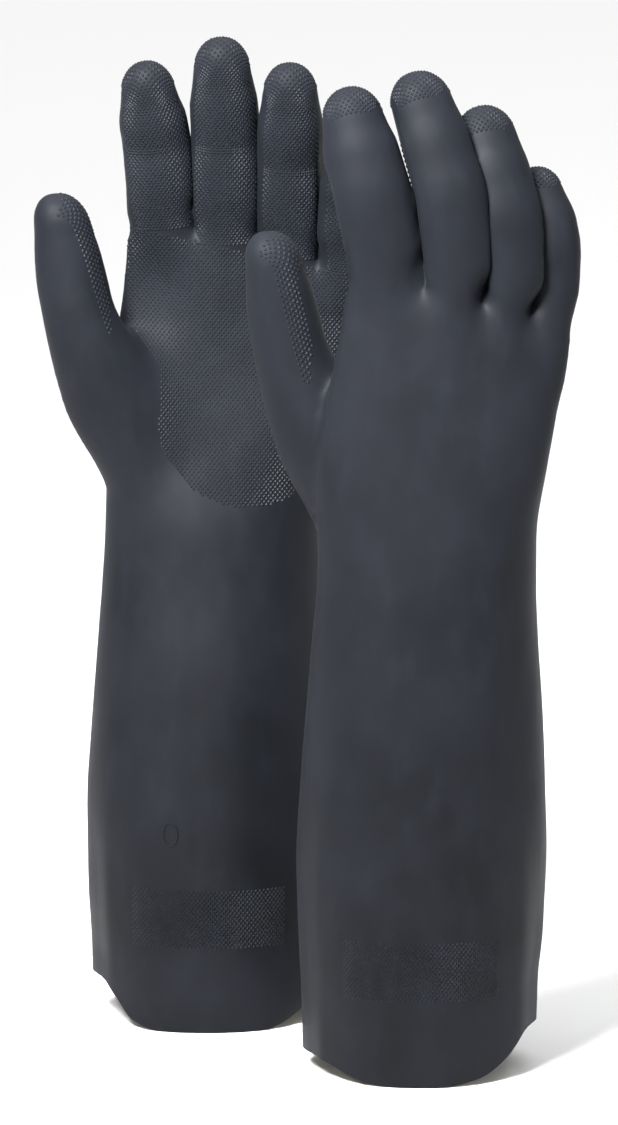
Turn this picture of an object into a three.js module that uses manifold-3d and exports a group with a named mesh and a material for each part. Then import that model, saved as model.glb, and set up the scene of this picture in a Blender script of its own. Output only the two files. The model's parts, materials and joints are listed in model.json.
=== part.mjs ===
// A pair of long dipped-rubber gauntlet gloves, standing upright on their cuff hems.
// The left glove stands behind and the right glove in front, so that their palms face each other.
// Each glove is a rubber shell with a flock lining inside it. Both are divided where the glove
// bends: at the wrist, at the root of each finger and the thumb, and half way up each of them.
//
// Millimetres, +Z up, +X towards the little fingers, +Y away from the person in front.
// The origin is on the floor, below the middle of the pair.

import * as THREE from "three";
import { mergeVertices } from "three/addons/utils/BufferGeometryUtils.js";
import Module from "manifold-3d";

const wasm = await Module();
wasm.setup();

// ---------------------------------------------------------------- driving dimensions

// The walls
const RUBBER_WALL = 1.2;
const LINING_THICKNESS = 0.8;
const LINING_CLEARANCE = 0.3; // between the rubber and the lining
const BEND_GAP = 0.4; // between two pieces that meet at a bend

// The gauntlet, from the hem up to the wrist
const GAUNTLET_LENGTH = 203;
const HEM_WIDTH = 94;
const HEM_DEPTH = 88;
const FOREARM_WIDTH = 101;
const FOREARM_DEPTH = 88;
const WRIST_WIDTH = 90;
const WRIST_DEPTH = 62;

// The hand, from the wrist up to the crotches of the fingers
const PALM_LENGTH = 112;
const PALM_WIDTH = 99;
const PALM_DEPTH = 39;
const PALM_SHIFT = 14; // how far the palm stands off the cuff's centre, towards the little finger
const HAND_SETBACK = 15; // how far the back of the hand stands off behind the cuff's centre
const KNUCKLE_FALL = 0.22; // how far the crotch line falls for each millimetre towards the little finger

// The fingers, from the index to the little finger: length above the bend at the root, width at
// the middle, how far each stands and leans towards the palm, and its sideways lean in either glove
const FINGER_DEPTH_SHARE = 0.88; // depth of a finger for its width
const FINGER_SPACE = 0.6; // between two fingers where they are widest
const FINGER_ROW_SHIFT = 4; // how far the row of fingers stands off the palm's middle
const FINGERS = [
  { name: "index", length: 69, width: 26.5, palmar: 0, cup: 0, leanLeft: -4, leanRight: -6.6 },
  { name: "middle", length: 83, width: 26.5, palmar: -1, cup: 2, leanLeft: -0.5, leanRight: -6.3 },
  { name: "ring", length: 77, width: 26, palmar: 1, cup: 5, leanLeft: 0.7, leanRight: -5.3 },
  { name: "little", length: 56, width: 21.5, palmar: 5, cup: 8, leanLeft: 2.5, leanRight: -2.5 },
];
const FINGER_ROOT_SHARE = 0.93; // width at the root for the width at the middle
const FINGER_END_SHARE = 0.9; // width below the rounded end for the width at the middle
const END_REACH_SHARE = 0.62; // length of the rounded end for its width
const FINGER_ROOT_RISE = 5; // height of the root bend above the crotch line
const FINGER_BURIED = 16; // how far a finger's solid runs down into the palm
const FINGER_CURL = 8; // degrees that the upper half leans towards the palm at rest
const MIDDLE_BEND_SHARE = 0.46; // height of the middle bend, as a share of the finger

// The thumb, which leaves the side of the palm
const THUMB_LENGTH = 58; // above the bend at the root
const THUMB_WIDTH = 29;
const THUMB_ROOT_WIDTH = 33;
const THUMB_DEPTH_SHARE = 0.86;
const THUMB_PALMAR = 17; // how far the thumb stands in front of the palm's middle
const THUMB_RISE = 80; // height of the root bend above the wrist
const THUMB_OUTSET = 3; // how far the root bend's middle stands outside the side of the palm
const THUMB_LEAN = 13; // degrees from upright, away from the fingers
const THUMB_UPPER_LEAN_SHARE = 0.7; // the upper half's lean for the lower half's
const HEEL_LEAN = 40; // degrees from upright of the heel that the thumb grows out of

// The pair
const LATERAL_OFFSET = 86; // between the middles of the two cuffs, left and right
const DEPTH_OFFSET = 90; // between the middles of the two cuffs, front and back

// How finely a section is divided
const PALM_SIDES = 18;
const FINGER_SIDES = 8;
const SECTION_SQUARENESS = 2.3; // exponent of the oval section, where 2 is an ellipse

const RUBBER_COLOUR = "#40444c";
const LINING_COLOUR = "#d8d2c2";

// ---------------------------------------------------------------- small helpers

const rad = THREE.MathUtils.degToRad;

/** A point of one glove: across towards the little finger, up, and towards the palm. */
const at = (across, palmar, up) => new THREE.Vector3(across, palmar, up);

/** The oval section of a limb at one station, as a ring of points. */
function ovalRing(station, inset, sides) {
  const { centre, along, width, depth } = station;
  const palmar = new THREE.Vector3(0, 1, 0);
  const across = new THREE.Vector3().crossVectors(palmar, along).normalize();
  const front = new THREE.Vector3().crossVectors(along, across).normalize();
  const round = (value) => Math.sign(value) * Math.abs(value) ** (2 / SECTION_SQUARENESS);
  const halfWidth = width / 2 - inset;
  const halfDepth = depth / 2 - inset;
  return Array.from({ length: sides }, (_, i) => {
    const angle = (2 * Math.PI * i) / sides;
    return centre
      .clone()
      .addScaledVector(across, halfWidth * round(Math.cos(angle)))
      .addScaledVector(front, halfDepth * round(Math.sin(angle)));
  });
}

/** A closed solid through a stack of rings, with a point or a flat fan at each end. */
function skin(rings, bottom, top) {
  const sides = rings[0].length;
  const points = [...rings.flat(), bottom, top];
  const bottomIndex = points.length - 2;
  const topIndex = points.length - 1;
  const faces = [];
  for (let ring = 0; ring + 1 < rings.length; ring++) {
    for (let i = 0; i < sides; i++) {
      const next = (i + 1) % sides;
      const [a, b] = [ring * sides + i, ring * sides + next];
      const [c, d] = [a + sides, b + sides];
      faces.push(a, b, d, a, d, c);
    }
  }
  const last = (rings.length - 1) * sides;
  for (let i = 0; i < sides; i++) {
    const next = (i + 1) % sides;
    faces.push(bottomIndex, next, i, topIndex, last + i, last + next);
  }
  return toSolid(points, faces);
}

/** Points and face indices as a manifold solid that faces out. */
function toSolid(points, faces) {
  const geometry = new THREE.BufferGeometry().setFromPoints(points);
  geometry.setIndex(faces);
  const merged = mergeVertices(geometry);
  const triVerts = new Uint32Array(merged.index.array);
  const vertProperties = new Float32Array(merged.attributes.position.array);
  const solid = new wasm.Manifold(new wasm.Mesh({ numProp: 3, vertProperties, triVerts }));
  if (solid.volume() > 0) return solid;
  const turned = new Uint32Array(triVerts.length);
  for (let i = 0; i < triVerts.length; i += 3) {
    turned.set([triVerts[i], triVerts[i + 2], triVerts[i + 1]], i);
  }
  return new wasm.Manifold(new wasm.Mesh({ numProp: 3, vertProperties, triVerts: turned }));
}

/** The part of a solid on the far side of a bend's plane, moved along its normal. */
function beyond(solid, bend, shift) {
  const { point, along } = bend;
  return solid.trimByPlane(along.toArray(), point.dot(along) + shift);
}

/** The part of a solid on the near side of a bend's plane, moved along its normal. */
function before(solid, bend, shift) {
  const { point, along } = bend;
  return solid.trimByPlane(along.clone().negate().toArray(), -(point.dot(along) + shift));
}

// ---------------------------------------------------------------- the gauntlet and the hand

const WRIST_HEIGHT = GAUNTLET_LENGTH;
const CROTCH_HEIGHT = GAUNTLET_LENGTH + PALM_LENGTH;
const MOUTH_EXTENSION = 6; // how far a cavity runs out below the hem
const HEM_PLANE = { point: at(0, 0, 0), along: at(0, 0, 1) }; // the lining ends level with the rubber

/** Height of the crotch line at a place across the palm. */
const crotchHeight = (across) => CROTCH_HEIGHT - KNUCKLE_FALL * (across - PALM_SHIFT);

/** Stations of the sleeve and palm, each with how far the palm's shift and the knuckles' slope apply. */
function trunkStations() {
  const mix = (a, b, share) => a + (b - a) * share;
  const station = (up, width, depth, reach, slope) => ({ up, width, depth, reach, slope });
  const aboveWrist = (share) => WRIST_HEIGHT + PALM_LENGTH * share;
  return [
    station(0, HEM_WIDTH, HEM_DEPTH, 0, 0),
    station(GAUNTLET_LENGTH * 0.28, mix(HEM_WIDTH, FOREARM_WIDTH, 0.65), FOREARM_DEPTH, 0, 0),
    station(GAUNTLET_LENGTH * 0.55, FOREARM_WIDTH, FOREARM_DEPTH, 0.05, 0),
    station(
      GAUNTLET_LENGTH * 0.8,
      mix(FOREARM_WIDTH, WRIST_WIDTH, 0.6),
      mix(FOREARM_DEPTH, WRIST_DEPTH, 0.6),
      0.1,
      0
    ),
    station(WRIST_HEIGHT, WRIST_WIDTH, WRIST_DEPTH, 0.2, 0),
    station(
      aboveWrist(0.28),
      mix(WRIST_WIDTH, PALM_WIDTH, 0.35),
      mix(WRIST_DEPTH, PALM_DEPTH, 0.5),
      0.35,
      0
    ),
    station(aboveWrist(0.55), PALM_WIDTH, mix(WRIST_DEPTH, PALM_DEPTH, 0.85), 0.75, 0.3),
    station(CROTCH_HEIGHT - 18, PALM_WIDTH, PALM_DEPTH, 0.95, 0.8),
    station(CROTCH_HEIGHT - 5, PALM_WIDTH * 0.98, PALM_DEPTH * 0.8, 1, 1),
    station(CROTCH_HEIGHT - 1, PALM_WIDTH * 0.93, PALM_DEPTH * 0.45, 1, 1),
  ];
}

/** The sleeve and palm as one solid, with its wall moved in by the inset. */
function trunk(inset) {
  const rings = trunkStations().map(({ up, width, depth, reach, slope }, i, { length }) => {
    const low = i === 0 && inset > 0 ? -MOUTH_EXTENSION : 0;
    const drop = i === length - 1 ? inset : 0;
    const centre = at(PALM_SHIFT * reach, -HAND_SETBACK * reach, up + low - drop);
    const along = new THREE.Vector3(KNUCKLE_FALL * slope, 0, 1).normalize();
    return ovalRing({ centre, along, width, depth }, inset, PALM_SIDES);
  });
  const bottom = at(0, 0, inset > 0 ? -MOUTH_EXTENSION : 0);
  const top = at(PALM_SHIFT, -HAND_SETBACK, CROTCH_HEIGHT - inset);
  return skin(rings, bottom, top);
}

// ---------------------------------------------------------------- fingers and thumb

/** Rings of a stall that follows a path, and its rounded end. */
function stall(limb, inset) {
  const { stations, depthShare } = limb;
  const rings = stations.map((station) =>
    ovalRing({ ...station, depth: station.width * depthShare }, inset, FINGER_SIDES)
  );
  const end = stations[stations.length - 1];
  const reach = limb.endReach - inset;
  for (const angle of [35, 65]) {
    const scale = Math.cos(rad(angle));
    const centre = end.centre.clone().addScaledVector(end.along, reach * Math.sin(rad(angle)));
    const halfWidth = (end.width / 2 - inset) * scale;
    const halfDepth = ((end.width * depthShare) / 2 - inset) * scale;
    const station = { centre, along: end.along, width: 2 * halfWidth, depth: 2 * halfDepth };
    rings.push(ovalRing(station, 0, FINGER_SIDES));
  }
  const top = end.centre.clone().addScaledVector(end.along, reach);
  return skin(rings, stations[0].centre, top);
}

/** The direction of a limb that leans sideways and towards the palm, in degrees. */
function direction(sideways, palmar) {
  return new THREE.Vector3(
    Math.sin(rad(sideways)),
    Math.sin(rad(palmar)) * Math.cos(rad(sideways)),
    Math.cos(rad(sideways)) * Math.cos(rad(palmar))
  );
}

/** A limb with a lower and an upper half from its root bend, and what it has inside the palm. */
function makeLimb({ root, lower, upper, length, widths, depthShare, embed }) {
  const [rootWidth, middleWidth, endWidth] = widths;
  const endReach = endWidth * END_REACH_SHARE;
  const lowerLength = length * MIDDLE_BEND_SHARE;
  const upperLength = length - lowerLength - endReach;
  const middle = root.clone().addScaledVector(lower, lowerLength);
  const end = middle.clone().addScaledVector(upper, upperLength);
  const middleAlong = lower.clone().add(upper).normalize();
  const station = (centre, along, width) => ({ centre, along, width });
  const stations = [
    ...embed,
    station(root, lower, rootWidth),
    station(middle, middleAlong, middleWidth),
    station(end, upper, endWidth),
  ];
  const bends = { root: { point: root, along: lower }, middle: { point: middle, along: middleAlong } };
  return { stations, depthShare, endReach, bends };
}

/** Places of the fingers' middles across the palm, side by side with the same space between them. */
function fingerPlaces() {
  const total = FINGERS.reduce((sum, { width }) => sum + width + FINGER_SPACE, -FINGER_SPACE);
  let edge = PALM_SHIFT + FINGER_ROW_SHIFT - total / 2;
  return FINGERS.map(({ width }) => {
    const place = edge + width / 2;
    edge += width + FINGER_SPACE;
    return place;
  });
}

/** One finger of a glove, at its place across the palm. */
function finger(spec, across, lean) {
  const up = crotchHeight(across) + FINGER_ROOT_RISE;
  const root = at(across, spec.palmar - HAND_SETBACK, up);
  const lower = direction(lean, spec.cup);
  const upper = direction(lean, spec.cup + FINGER_CURL);
  const rootWidth = spec.width * FINGER_ROOT_SHARE;
  const buried = root.clone().add(at(0, 0, -FINGER_ROOT_RISE - FINGER_BURIED));
  return makeLimb({
    root,
    lower,
    upper,
    length: spec.length,
    widths: [rootWidth, spec.width, spec.width * FINGER_END_SHARE],
    depthShare: FINGER_DEPTH_SHARE,
    embed: [{ centre: buried, along: at(0, 0, 1), width: rootWidth * 0.9 }],
  });
}

/** The thumb of a glove, which swells into the heel of the palm. */
function thumb() {
  const side = PALM_SHIFT * 0.75 - PALM_WIDTH / 2;
  const across = side - THUMB_OUTSET - THUMB_WIDTH / 2;
  const root = at(across, THUMB_PALMAR - HAND_SETBACK * 0.75, WRIST_HEIGHT + THUMB_RISE);
  const lower = direction(-THUMB_LEAN, 2);
  const upper = direction(-THUMB_LEAN * THUMB_UPPER_LEAN_SHARE, -4);
  const heel = direction(-HEEL_LEAN, 12);
  const swell = root.clone().addScaledVector(lower, -14).addScaledVector(heel, -12);
  const buried = swell.clone().addScaledVector(heel, -30);
  return makeLimb({
    root,
    lower,
    upper,
    length: THUMB_LENGTH,
    widths: [THUMB_ROOT_WIDTH * 0.94, THUMB_WIDTH, THUMB_WIDTH * FINGER_END_SHARE],
    depthShare: THUMB_DEPTH_SHARE,
    embed: [
      { centre: buried, along: heel, width: THUMB_ROOT_WIDTH * 1.05 },
      { centre: swell, along: heel.clone().add(lower).normalize(), width: THUMB_ROOT_WIDTH * 1.12 },
    ],
  });
}

// ---------------------------------------------------------------- one layer of a glove

/** One layer of a glove, from an outer inset to an inner one, divided at its bends. */
function layerPieces(limbs, outerInset, innerInset) {
  const half = BEND_GAP / 2;
  const wrist = { point: at(0, 0, WRIST_HEIGHT), along: at(0, 0, 1) };
  const body = trunk(outerInset);
  const hollow = trunk(innerInset);
  const aboveHem = outerInset > 0 ? beyond(body, HEM_PLANE, 0) : body;
  const pieces = { gauntlet: before(aboveHem, wrist, -half).subtract(hollow) };
  let hand = beyond(body, wrist, half);
  let cavity = hollow;
  for (const [name, limb] of Object.entries(limbs)) {
    const outside = stall(limb, outerInset);
    const inside = stall(limb, innerInset);
    const { root, middle } = limb.bends;
    hand = hand.add(before(outside, root, -half));
    cavity = cavity.add(inside);
    pieces[`${name}_base`] = before(beyond(outside, root, half), middle, -half).subtract(inside);
    pieces[`${name}_tip`] = beyond(outside, middle, half).subtract(inside);
  }
  pieces.hand = hand.subtract(cavity);
  return pieces;
}

// ---------------------------------------------------------------- the pair

/** A manifold solid as a mesh, turned so that its palm faces the way that side says. */
function toMesh(solid, name, material, side) {
  const { vertProperties, triVerts } = solid.getMesh();
  const geometry = new THREE.BufferGeometry();
  geometry.setAttribute("position", new THREE.BufferAttribute(new Float32Array(vertProperties), 3));
  const index = new Uint32Array(triVerts);
  if (side < 0) {
    for (let i = 0; i < index.length; i += 3) {
      [index[i + 1], index[i + 2]] = [index[i + 2], index[i + 1]];
    }
  }
  geometry.setIndex(new THREE.BufferAttribute(index, 1));
  geometry.scale(1, side, 1);
  const mesh = new THREE.Mesh(geometry, material);
  mesh.name = name;
  return mesh;
}

/** One whole glove. Its palm faces +Y where side is 1, and -Y where side is -1. */
function glove(hand, side) {
  const leanKey = hand === "left" ? "leanLeft" : "leanRight";
  const limbs = { thumb: thumb() };
  const places = fingerPlaces();
  FINGERS.forEach((spec, i) => {
    limbs[spec.name] = finger(spec, places[i], spec[leanKey]);
  });
  const liningFace = RUBBER_WALL + LINING_CLEARANCE;
  const layers = {
    shell: layerPieces(limbs, 0, RUBBER_WALL),
    lining: layerPieces(limbs, liningFace, liningFace + LINING_THICKNESS),
  };
  const group = new THREE.Group();
  for (const [layer, pieces] of Object.entries(layers)) {
    for (const [name, solid] of Object.entries(pieces)) {
      const material =
        layer === "shell"
          ? new THREE.MeshStandardMaterial({ color: RUBBER_COLOUR, roughness: 0.55, metalness: 0 })
          : new THREE.MeshStandardMaterial({ color: LINING_COLOUR, roughness: 0.95, metalness: 0 });
      group.add(toMesh(solid, `${hand}_${name}_${layer}`, material, side));
    }
  }
  return group;
}

const leftGlove = glove("left", -1);
leftGlove.position.set(-LATERAL_OFFSET / 2, DEPTH_OFFSET / 2, 0);
const rightGlove = glove("right", 1);
rightGlove.position.set(LATERAL_OFFSET / 2, -DEPTH_OFFSET / 2, 0);

const pair = new THREE.Group();
pair.add(leftGlove, rightGlove);
pair.updateMatrixWorld(true);

// The pair is moved so that the origin lies below the middle of its outer box.
const box = new THREE.Box3().setFromObject(pair);
const middle = box.getCenter(new THREE.Vector3());
pair.position.set(-middle.x, -middle.y, -box.min.z);

export default pair;
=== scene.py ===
import json
import math

import bpy
import numpy as np
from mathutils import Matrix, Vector, noise
from mathutils.bvhtree import BVHTree


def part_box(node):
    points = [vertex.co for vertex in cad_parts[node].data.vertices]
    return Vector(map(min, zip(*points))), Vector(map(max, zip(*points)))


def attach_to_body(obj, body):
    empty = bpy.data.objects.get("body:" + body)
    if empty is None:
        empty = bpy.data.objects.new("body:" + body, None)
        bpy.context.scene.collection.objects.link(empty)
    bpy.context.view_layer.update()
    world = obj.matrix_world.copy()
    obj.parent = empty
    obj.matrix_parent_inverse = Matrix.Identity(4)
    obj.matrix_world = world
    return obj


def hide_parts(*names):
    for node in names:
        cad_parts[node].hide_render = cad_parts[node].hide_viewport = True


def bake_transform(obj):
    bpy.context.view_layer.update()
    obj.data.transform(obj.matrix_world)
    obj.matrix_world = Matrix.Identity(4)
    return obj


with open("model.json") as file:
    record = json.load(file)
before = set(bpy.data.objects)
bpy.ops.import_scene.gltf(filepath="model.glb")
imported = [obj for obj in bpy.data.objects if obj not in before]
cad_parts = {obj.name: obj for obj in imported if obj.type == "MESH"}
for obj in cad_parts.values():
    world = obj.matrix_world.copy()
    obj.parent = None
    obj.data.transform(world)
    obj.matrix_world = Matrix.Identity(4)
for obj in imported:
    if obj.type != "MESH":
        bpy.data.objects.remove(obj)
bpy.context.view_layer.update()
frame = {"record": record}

# A pair of long rubber gauntlet gloves that stand on their cuff hems, palms facing each other.
# Each glove is shaped in its own frame, in millimetres: across towards the little finger, towards
# the palm, and up. The left glove's palm faces -Y and the right glove's palm faces +Y.
MM = 0.001

# ---------------------------------------------------------------- sizes, in millimetres

RUBBER_WALL = 0.9
LINING_GAP = 0.1
LINING_WALL = 0.9

# Sleeve and palm from the hem up: height, thumb side, little-finger side, palm face, back face
TRUNK = [
    (-9.0, -46.0, 46.0, 42.5, -42.5),
    (0.0, -46.3, 46.3, 42.6, -42.6),
    (28.0, -47.3, 47.0, 43.0, -43.0),
    (62.0, -48.6, 49.2, 43.4, -43.4),
    (95.0, -49.0, 50.2, 43.4, -43.4),
    (125.0, -47.4, 49.8, 41.0, -42.0),
    (150.0, -45.3, 48.8, 37.5, -40.2),
    (178.0, -43.4, 47.2, 32.0, -37.8),
    (205.0, -41.6, 46.4, 27.0, -35.6),
    (226.0, -41.6, 46.8, 21.0, -34.0),
    (250.0, -42.0, 52.0, 12.0, -32.4),
    (272.0, -38.0, 59.0, 4.0, -31.0),
    (290.0, -34.8, 64.0, -1.5, -29.2),
    (303.0, -33.4, 67.0, -4.6, -27.6),
    (311.0, -32.4, 68.6, -6.4, -25.6),
    (315.0, -31.0, 67.6, -9.0, -22.0),
]
TRUNK_TOP = 317.0
KNUCKLE_FALL = 0.22  # how far the crotch line falls for each millimetre towards the little finger
KNUCKLE_MIDDLE = 14.0  # place across the palm where the crotch line has its middle height
KNUCKLE_START = 262.0  # height from which the sections tilt towards that line

FINGERS = {
    # width at the widest, and sideways lean in degrees while the crotches are formed
    "index": (26.6, -10.5),
    "middle": (27.2, -3.2),
    "ring": (26.2, 4.5),
    "little": (22.4, 12.0),
}
FINGER_POSE = {
    # moved across and towards the palm, sideways lean of the lower and of the upper half, lengthened
    "left": {
        "index": (1.2, 0.0, -4.0, -7.5, -3.0),
        "middle": (0.4, 0.0, 0.0, -3.0, -0.5),
        "ring": (-0.4, 0.0, 0.5, -0.5, 2.5),
        "little": (-2.0, 1.0, 2.5, 1.0, 0.0),
    },
    "right": {
        "index": (5.6, -1.5, -10.5, -13.0, 7.0),
        "middle": (6.6, 0.5, -5.0, -16.5, 5.5),
        "ring": (0.4, 4.5, -3.5, -12.5, 2.0),
        "little": (-6.8, 8.0, -1.0, -12.0, 2.5),
    },
}
FINGER_FULLNESS = {"left": 0.03, "right": 0.13}  # how much broader the fingers of each glove stand
# How much broader again the lower half stands towards the next finger
NEIGHBOUR_FULLNESS = {"left": 0.12, "right": 0.18}
# The share of a touching pair's room that the finger nearer the thumb takes
FRONT_SHARE = {"left": 0.5, "right": 0.57}
TOUCH_GAP = 0.12  # left between two fingers that lie against each other
END_SHARE = 0.87  # width where the rounded end starts
END_REACH_SHARE = 0.72  # length of the rounded end for its width
DEPTH_SHARE = 0.89
HINGE_CLEARANCE = 0.3  # the CAD hinge line lies this far in front of the finger
CURL_AT_REST = 8.0  # degrees that a finger's upper half leans towards the palm

# Heel of the thumb and thumb: height, outer edge, inner edge, palmar place, half depth
THUMB = [
    (196.0, -37.0, -12.0, -4.0, 12.0),
    (210.0, -39.8, -12.0, -2.0, 15.0),
    (220.0, -42.0, -10.0, 0.5, 16.0),
    (230.0, -46.6, -8.0, 1.5, 16.6),
    (240.0, -52.4, -8.0, 2.4, 16.6),
    (250.0, -57.2, -10.0, 3.2, 16.2),
    (262.0, -60.9, -16.0, 4.0, 15.8),
    (275.0, -64.0, -24.0, 4.8, 15.3),
    (285.0, -66.0, -32.0, 5.0, 14.6),
    (295.0, -67.7, -37.6, 5.0, 14.0),
    (305.0, -69.2, -40.2, 4.4, 13.2),
    (318.0, -70.1, -43.6, 3.8, 12.4),
    (327.0, -70.2, -46.8, 3.4, 11.6),
]
THUMB_TOP = 341.0
THUMB_WEB = 294.0  # height where the thumb leaves the palm
THUMB_END_DRIFT = -0.17  # the thumb's end leans outwards by this for each millimetre of height

HEM_HALF_WIDTH = 47.0
# How far the cut hem rises towards the pressed sides, from the thumb side to the other one
HEM_RISE = {
    "left": [
        (-1, 17), (-0.9, 16), (-0.8, 11), (-0.7, 5), (-0.55, 1.2), (-0.3, 0), (0.3, 0), (0.6, 1.5),
        (0.8, 6.5), (0.9, 9.5), (1, 10),
    ],
    "right": [
        (-1, 6.8), (-0.9, 7.2), (-0.75, 5.5), (-0.5, 1.4), (-0.2, 0), (0.15, 0), (0.4, 1.6),
        (0.6, 4.6), (0.76, 10.5), (0.88, 17.5), (1, 18.5),
    ],
}
CAD_WALL = 1.2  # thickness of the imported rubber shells
HEM_RISE_REACH = 60.0  # height up to which the skin follows the hem's rise

SKIN_GRID = 1.55  # between the skin's points

HAND_GAUNTLET_SPLIT = 238.0  # height where the sleeve piece meets the hand piece
WRIST_BLEND = (30.0, 27.0)  # the wrist's blend span reaches this far below its hinge line and this far above it
PIECE_FOOT = -1.5  # a digit's lower piece starts here along its middle line
FINGER_TIP_BORDER = 0.56  # share of the lower half where the upper piece starts
THUMB_TIP_BORDER = 0.73
THUMB_SIDE = -36.0  # the thumb's pieces lie outside this place across the palm
THUMB_FOOT = 262.0  # and above this height
FINGER_BEND_START = 4.5  # a finger's root blend span starts here up its middle line
FINGER_BEND_END = 0.52  # to this share of its lower half
THUMB_BEND_END = 0.71
FINGER_TIP_BEND_START = 0.37  # a digit's middle blend span starts at this share of the lower half below it
THUMB_TIP_BEND_START = 0.24
TIP_BEND_END = 0.35  # to this share above it

GRIP_WIDTH = 1.85  # between the grip's studs, across
GRIP_LENGTH = 2.2  # between the grip's studs, along
GRIP_HEIGHT = 0.33
GRIP_SINK = 0.06
STUD_SHARE = 0.9  # a stud's size for the distance between studs
CAST_ANGLE = 0.28  # least cosine between a ray and the skin for a stud to stand there
FINGER_GRIP_HALF_ANGLE = 62
FINGER_GRIP_WRAP = 152  # degrees that a finger's strip runs on over its end
THUMB_GRIP_HALF_ANGLE = 46
THUMB_GRIP_WRAP = 55
THUMB_GRIP_RADIUS = 12.5
STRIP_LEAD = -3.0  # the strips start this far below a digit's root
CUFF_BAND = (36.0, 60.0)  # heights between which the cuff bands lie
CUFF_BAND_HALF = 34.0
CUFF_RADIUS = 46.0

BEAD_PLACE = (-15.0, 83.0)  # across and up, on the palm side of the sleeve
BEAD_SIZE = (2.9, 4.8)
BEAD_THICKNESS = 0.45


# ---------------------------------------------------------------- small helpers

def smooth(x, low, high):
    """0 below low, 1 above high, and a smooth step between them."""
    t = np.clip((np.asarray(x, float) - low) / (high - low), 0, 1)
    return t * t * (3 - 2 * t)


def bell(x, middle, width):
    """1 at the middle, and close to 0 two widths away."""
    return np.exp(-(((np.asarray(x, float) - middle) / width) ** 2))


def flowing(xs, ys, x):
    """A smooth curve through the points (xs, ys), read at x."""
    xs, ys = np.asarray(xs, float), np.asarray(ys, float)
    slope = np.gradient(ys, xs)
    i = np.clip(np.searchsorted(xs, x) - 1, 0, len(xs) - 2)
    h = xs[i + 1] - xs[i]
    t = (x - xs[i]) / h
    a, b = ys[i], ys[i + 1]
    return (
        (2 * t**3 - 3 * t**2 + 1) * a
        + (t**3 - 2 * t**2 + t) * h * slope[i]
        + (-2 * t**3 + 3 * t**2) * b
        + (t**3 - t**2) * h * slope[i + 1]
    )


def unit(v):
    v = np.asarray(v, float)
    return v / np.linalg.norm(v)


def lean(sideways, palmar):
    """Direction of a finger that leans sideways and towards the palm, in degrees."""
    s, p = math.radians(sideways), math.radians(palmar)
    return np.array([math.sin(s), math.sin(p) * math.cos(s), math.cos(s) * math.cos(p)])


def turned(points, pivot, axis, angles):
    """Points turned about an axis through the pivot, each by its own angle in radians."""
    axis = unit(axis)
    r = points - pivot
    c, s = np.cos(angles)[:, None], np.sin(angles)[:, None]
    return pivot + r * c + np.cross(axis, r) * s + np.outer(r @ axis, axis) * (1 - c)


def make_mesh(name, points, faces):
    mesh = bpy.data.meshes.new(name)
    mesh.from_pydata([tuple(map(float, p)) for p in points], [], [tuple(map(int, f)) for f in faces])
    mesh.validate()
    mesh.update()
    return mesh


def make_object(name, mesh):
    piece = bpy.data.objects.new(name, mesh)
    bpy.context.scene.collection.objects.link(piece)
    return piece


# ---------------------------------------------------------------- materials

def linear(hex_code):
    """An sRGB hex colour as linear red, green, blue and alpha."""
    parts = [int(hex_code[i:i + 2], 16) / 255 for i in (1, 3, 5)]
    return tuple(c / 12.92 if c <= 0.04045 else ((c + 0.055) / 1.055) ** 2.4 for c in parts) + (1.0,)


def add_node(tree, kind, settings=None, links=None):
    """Adds a node, sets its properties and sockets, and links its inputs."""
    node = tree.nodes.new(kind)
    for key, value in (settings or {}).items():
        if isinstance(key, str) and hasattr(node, key):
            setattr(node, key, value)
        else:
            node.inputs[key].default_value = value
    for key, source in (links or {}).items():
        tree.links.new(source, node.inputs[key])
    return node


def new_material(name):
    material = bpy.data.materials.new(name)
    material.use_nodes = True
    material.node_tree.nodes.clear()
    return material, material.node_tree


def pattern(tree, place, size_mm, detail, roughness):
    """A noise pattern whose features have a size in millimetres."""
    settings = {"Scale": 1000.0 / size_mm, "Detail": detail, "Roughness": roughness}
    return add_node(tree, "ShaderNodeTexNoise", settings, {"Vector": place}).outputs["Fac"]


def two_tone(tree, factor, *stops):
    """A ramp between two sRGB colours, each at its own place."""
    ramp = add_node(tree, "ShaderNodeValToRGB", None, {"Fac": factor})
    for element, (position, hex_code) in zip(ramp.color_ramp.elements, stops):
        element.position = position
        element.color = linear(hex_code)
    return ramp.outputs["Color"]


def ranged(tree, value, source, target):
    """A value brought from one range to another."""
    settings = dict(zip(("From Min", "From Max", "To Min", "To Max"), (*source, *target)))
    return add_node(tree, "ShaderNodeMapRange", settings, {"Value": value}).outputs["Result"]


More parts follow.
